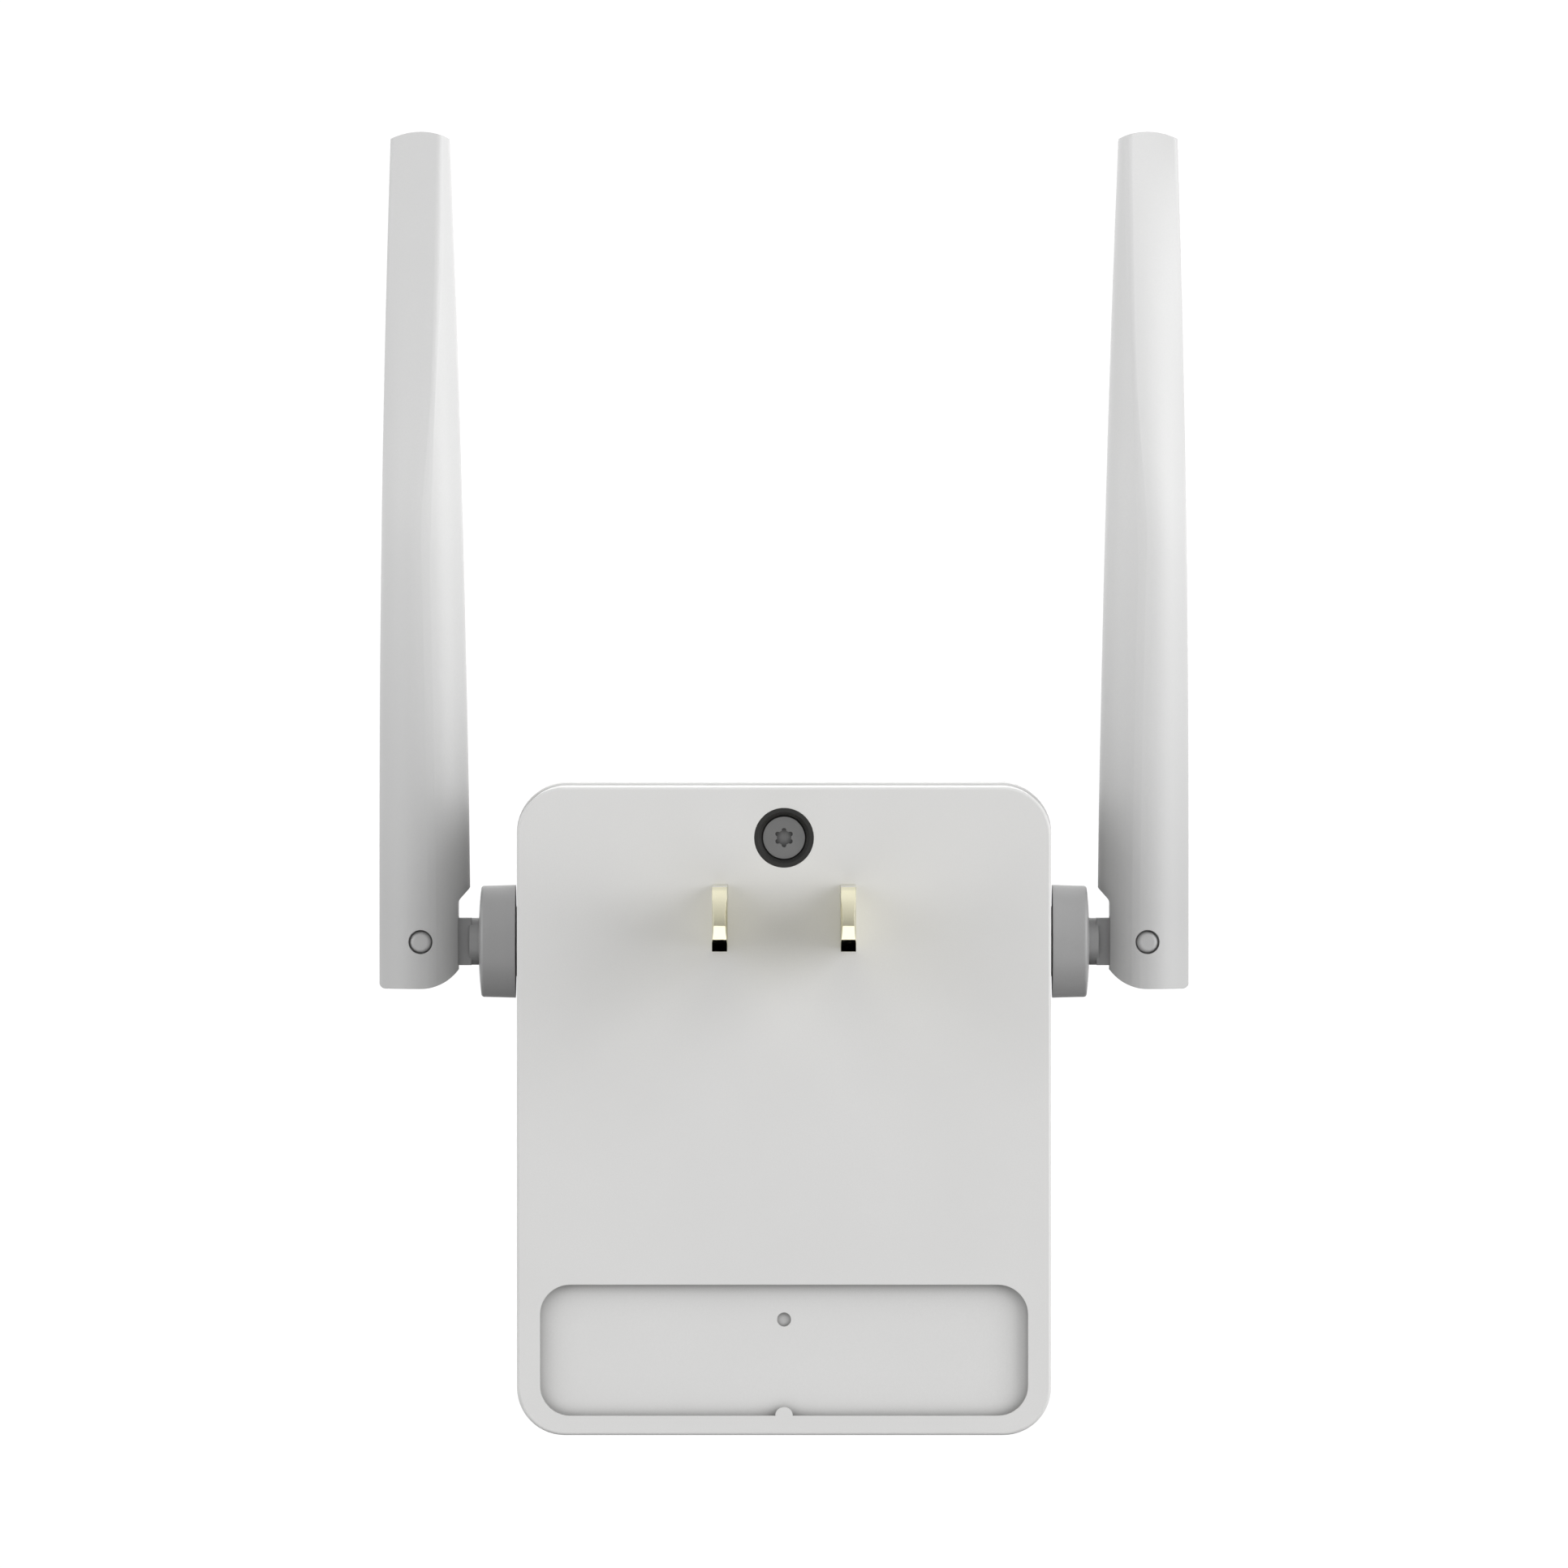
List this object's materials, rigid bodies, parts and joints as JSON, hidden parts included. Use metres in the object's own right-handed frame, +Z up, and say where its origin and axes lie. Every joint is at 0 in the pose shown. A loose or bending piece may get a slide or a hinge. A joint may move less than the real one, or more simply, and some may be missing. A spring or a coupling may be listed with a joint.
{
  "type": "wifi range extender",
  "caption": "Plug-in wifi repeater with a flat rear face, mains blades, a network socket and folding, swivelling antennas.",
  "frame": {"origin": "on the rear face, midway between the mains blades", "axes": "+Z up along the antennas, +Y out of the rear face along the mains blades, -Y out of the fascia, +X to the right seen from the front"},
  "size_m": [0.0812, 0.051, 0.1301],
  "materials": {
    "case_white": "fine-grained satin moulding",
    "fascia_white": "polished",
    "antenna_white": "fine-grained satin moulding",
    "knuckle_grey": "satin moulding",
    "pin_white": "satin moulding",
    "clear_plastic": "polished diffuser",
    "black_rubber": "smooth",
    "dark_steel": "black-oxide finish",
    "blade_brass": "nickel-washed, bright",
    "white_nylon": "moulded",
    "board_green": "solder mask",
    "ferrite": "sintered",
    "black_plastic": "moulded",
    "winding_tape": "polyester tape",
    "capacitor_sleeve": "heat-shrink sleeve",
    "resistor_green": "lacquered",
    "ceramic_blue": "epoxy coated",
    "chip_black": "moulded epoxy",
    "gold_pins": "gold plated",
    "tinned_steel": "tinned",
    "spring_steel": "bright",
    "led_yellow": "phosphor lens",
    "jack_black": "moulded",
    "switch_black": "moulded",
    "button_grey": "satin moulding",
    "coax_black": "extruded jacket"
  },
  "bodies": {
    "case": {"rear_cover": "case_white", "front_cover": "case_white", "front_fascia": "fascia_white", "light_pipes": "clear_plastic", "screw_grommet": "black_rubber", "case_screw": "dark_steel", "blade_carrier": "white_nylon", "power_board": "board_green", "main_board": "board_green", "transformer_core": "ferrite", "transformer_bobbin": "black_plastic", "transformer_winding": "winding_tape", "input_capacitors": "capacitor_sleeve", "output_capacitor": "capacitor_sleeve", "input_choke": "black_plastic", "fuse_resistor": "resistor_green", "safety_capacitor": "ceramic_blue", "bridge_rectifier": "chip_black", "power_controller": "chip_black", "output_diode": "chip_black", "board_link_pins": "gold_pins", "board_link_header": "black_plastic", "wifi_shield": "tinned_steel", "processor_chip": "chip_black", "memory_chip": "chip_black", "status_leds": "led_yellow", "ethernet_jack": "jack_black", "ethernet_contacts": "gold_pins", "tact_switches": "switch_black", "coax_plugs": "gold_pins", "coax_sockets": "gold_pins", "right_mains_blade": "blade_brass", "left_mains_blade": "blade_brass", "right_case_coax": "coax_black", "left_case_coax": "coax_black"},
    "right_swivel": {"right_swivel_knuckle": "knuckle_grey", "right_swivel_clip": "tinned_steel", "right_friction_washer": "spring_steel", "right_knuckle_coax": "coax_black"},
    "right_antenna": {"right_antenna_rear_half": "antenna_white", "right_antenna_front_half": "antenna_white", "right_hinge_pins": "pin_white", "right_antenna_element": "board_green", "right_antenna_coax": "coax_black"},
    "left_swivel": {"left_swivel_knuckle": "knuckle_grey", "left_swivel_clip": "tinned_steel", "left_friction_washer": "spring_steel", "left_knuckle_coax": "coax_black"},
    "left_antenna": {"left_antenna_rear_half": "antenna_white", "left_antenna_front_half": "antenna_white", "left_hinge_pins": "pin_white", "left_antenna_element": "board_green", "left_antenna_coax": "coax_black"},
    "power_button": {"power_button": "button_grey", "power_switch_plunger": "button_grey"},
    "wps_button": {"wps_button": "button_grey", "wps_switch_plunger": "button_grey"},
    "reset_plunger": {"reset_switch_plunger": "button_grey"}
  },
  "joints": [
    {"name": "right_swivel_turn", "type": "hinge", "parent": "case", "child": "right_swivel", "pos_m": [0.0268, -0.017, -0.00278], "axis": [1, 0, 0], "range_deg": [-90, 180]},
    {"name": "right_antenna_tilt", "type": "hinge", "parent": "right_swivel", "child": "right_antenna", "pos_m": [0.03638, -0.017, -0.00278], "axis": [0, 1, 0], "range_deg": [0, 90]},
    {"name": "left_swivel_turn", "type": "hinge", "parent": "case", "child": "left_swivel", "pos_m": [-0.0268, -0.017, -0.00278], "axis": [1, 0, 0], "range_deg": [-90, 180]},
    {"name": "left_antenna_tilt", "type": "hinge", "parent": "left_swivel", "child": "left_antenna", "pos_m": [-0.03638, -0.017, -0.00278], "axis": [0, -1, 0], "range_deg": [0, 90]},
    {"name": "power_button_press", "type": "slide", "parent": "case", "child": "power_button", "axis": [1, 0, 0], "range_m": [0, 0.0004], "stiffness_N_per_m": 2000},
    {"name": "wps_button_press", "type": "slide", "parent": "case", "child": "wps_button", "axis": [1, 0, 0], "range_m": [0, 0.0004], "stiffness_N_per_m": 2000},
    {"name": "reset_press", "type": "slide", "parent": "case", "child": "reset_plunger", "axis": [-1, 0, 0], "range_m": [0, 0.0003], "stiffness_N_per_m": 2000}
  ]
}
